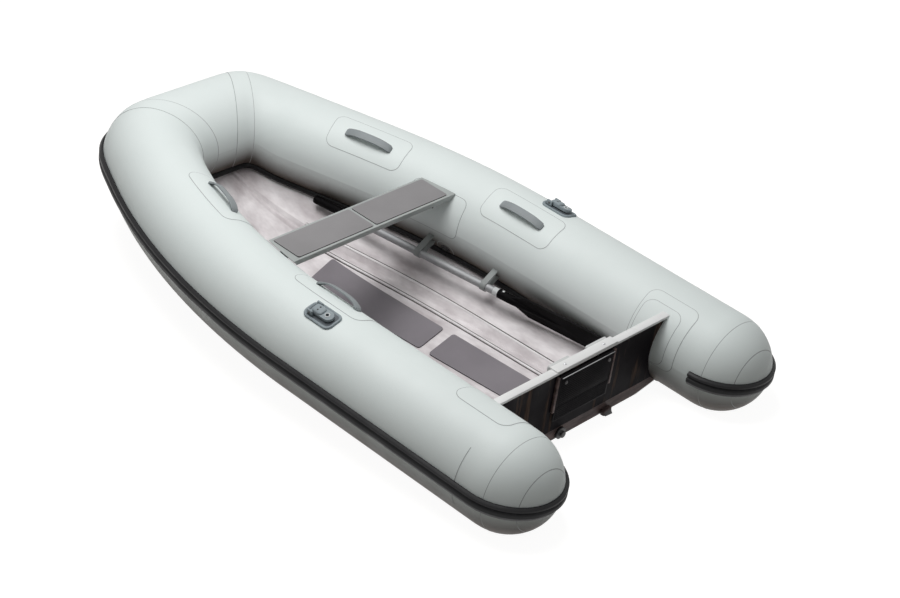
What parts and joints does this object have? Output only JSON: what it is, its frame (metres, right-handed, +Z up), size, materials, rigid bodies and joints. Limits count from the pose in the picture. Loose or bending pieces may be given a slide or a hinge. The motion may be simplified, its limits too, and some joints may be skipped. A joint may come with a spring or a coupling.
{
  "type": "rigid inflatable boat",
  "caption": "Small rigid inflatable tender afloat: fabric collar on a plate V hull, bench seat that lifts out, strapped oars that slide and folding oarlocks.",
  "frame": {"origin": "on the water surface, on the centreline, under the transom's plane", "axes": "+X towards the bow, +Y to port, +Z up, floating at rest"},
  "size_m": [2.9087, 1.708, 0.687],
  "materials": {
    "tube": "matt coated fabric, warm white",
    "strake": "matt extruded rubber, dark grey",
    "hull": "satin light grey powder coat on aluminium",
    "gasket": "matt black rubber",
    "transom": "satin, near black aft face",
    "cap": "white moulding",
    "motor_pad": "cross-hatched grip pad",
    "clamp_pad": "light grey clamp pad",
    "valve": "black valve cap",
    "seat": "satin light grey box section",
    "seat_pad": "mid grey non-skid foam",
    "floor_pad": "dark grey non-skid foam",
    "bracket": "black coated bracket",
    "oar_black": "black moulded plastic",
    "oar_shaft": "anodised tube",
    "oar_strap": "light grey moulded strap",
    "handle": "blue-grey moulded rubber",
    "oarlock": "blue-grey moulded rubber"
  },
  "bodies": {
    "hull": {"bow_tube": "tube", "clamp_pad_port": "clamp_pad", "clamp_pad_starboard": "clamp_pad", "clamp_plate": "cap", "drain_plug": "gasket", "floor_pad_port_aft": "floor_pad", "floor_pad_port_fore": "floor_pad", "floor_pad_starboard_aft": "floor_pad", "floor_pad_starboard_fore": "floor_pad", "handle_port_aft": "handle", "handle_port_fore": "handle", "handle_starboard_aft": "handle", "handle_starboard_fore": "handle", "hull_flange": "hull", "hull_gasket": "gasket", "hull_plating_port": "hull", "hull_plating_starboard": "hull", "keel_guard": "hull", "motor_bar_port": "cap", "motor_bar_starboard": "cap", "motor_pad": "motor_pad", "oar_strap_port_aft": "oar_strap", "oar_strap_port_fore": "oar_strap", "oar_strap_starboard_aft": "oar_strap", "oar_strap_starboard_fore": "oar_strap", "oarlock_base_port": "oarlock", "oarlock_base_starboard": "oarlock", "port_tube": "tube", "rub_strake": "strake", "seat_bracket_port": "bracket", "seat_bracket_starboard": "bracket", "starboard_tube": "tube", "towing_eye": "hull", "transom": "transom", "transom_cap": "cap", "valve_bow": "valve", "valve_port": "valve", "valve_starboard": "valve"},
    "seat": {"seat_frame": "seat", "seat_pad_port": "seat_pad", "seat_pad_starboard": "seat_pad"},
    "oar_port": {"oar_port_grip": "oar_black", "oar_port_shaft": "oar_shaft", "oar_port_collar": "cap", "oar_port_blade": "oar_black"},
    "oarlock_tongue_port": {"oarlock_tongue_port": "oarlock"},
    "oar_starboard": {"oar_starboard_grip": "oar_black", "oar_starboard_shaft": "oar_shaft", "oar_starboard_collar": "cap", "oar_starboard_blade": "oar_black"},
    "oarlock_tongue_starboard": {"oarlock_tongue_starboard": "oarlock"}
  },
  "joints": [
    {"name": "seat_lift", "type": "slide", "parent": "hull", "child": "seat", "axis": [-0.0698, 0, 0.9976], "range_m": [0, 0.15]},
    {"name": "oar_port_slide", "type": "slide", "parent": "hull", "child": "oar_port", "axis": [-0.9945, 0.0939, -0.0462], "range_m": [0, 0.1]},
    {"name": "oar_starboard_slide", "type": "slide", "parent": "hull", "child": "oar_starboard", "axis": [-0.9945, -0.0939, -0.0462], "range_m": [0, 0.1]},
    {"name": "oarlock_port_fold", "type": "hinge", "parent": "hull", "child": "oarlock_tongue_port", "pos_m": [0.75829, 0.69094, 0.45105], "axis": [0.0181, 0.9659, -0.2582], "range_deg": [0, 90]},
    {"name": "oarlock_starboard_fold", "type": "hinge", "parent": "hull", "child": "oarlock_tongue_starboard", "pos_m": [0.75829, -0.69094, 0.45105], "axis": [-0.0181, 0.9659, 0.2582], "range_deg": [0, 90]}
  ]
}
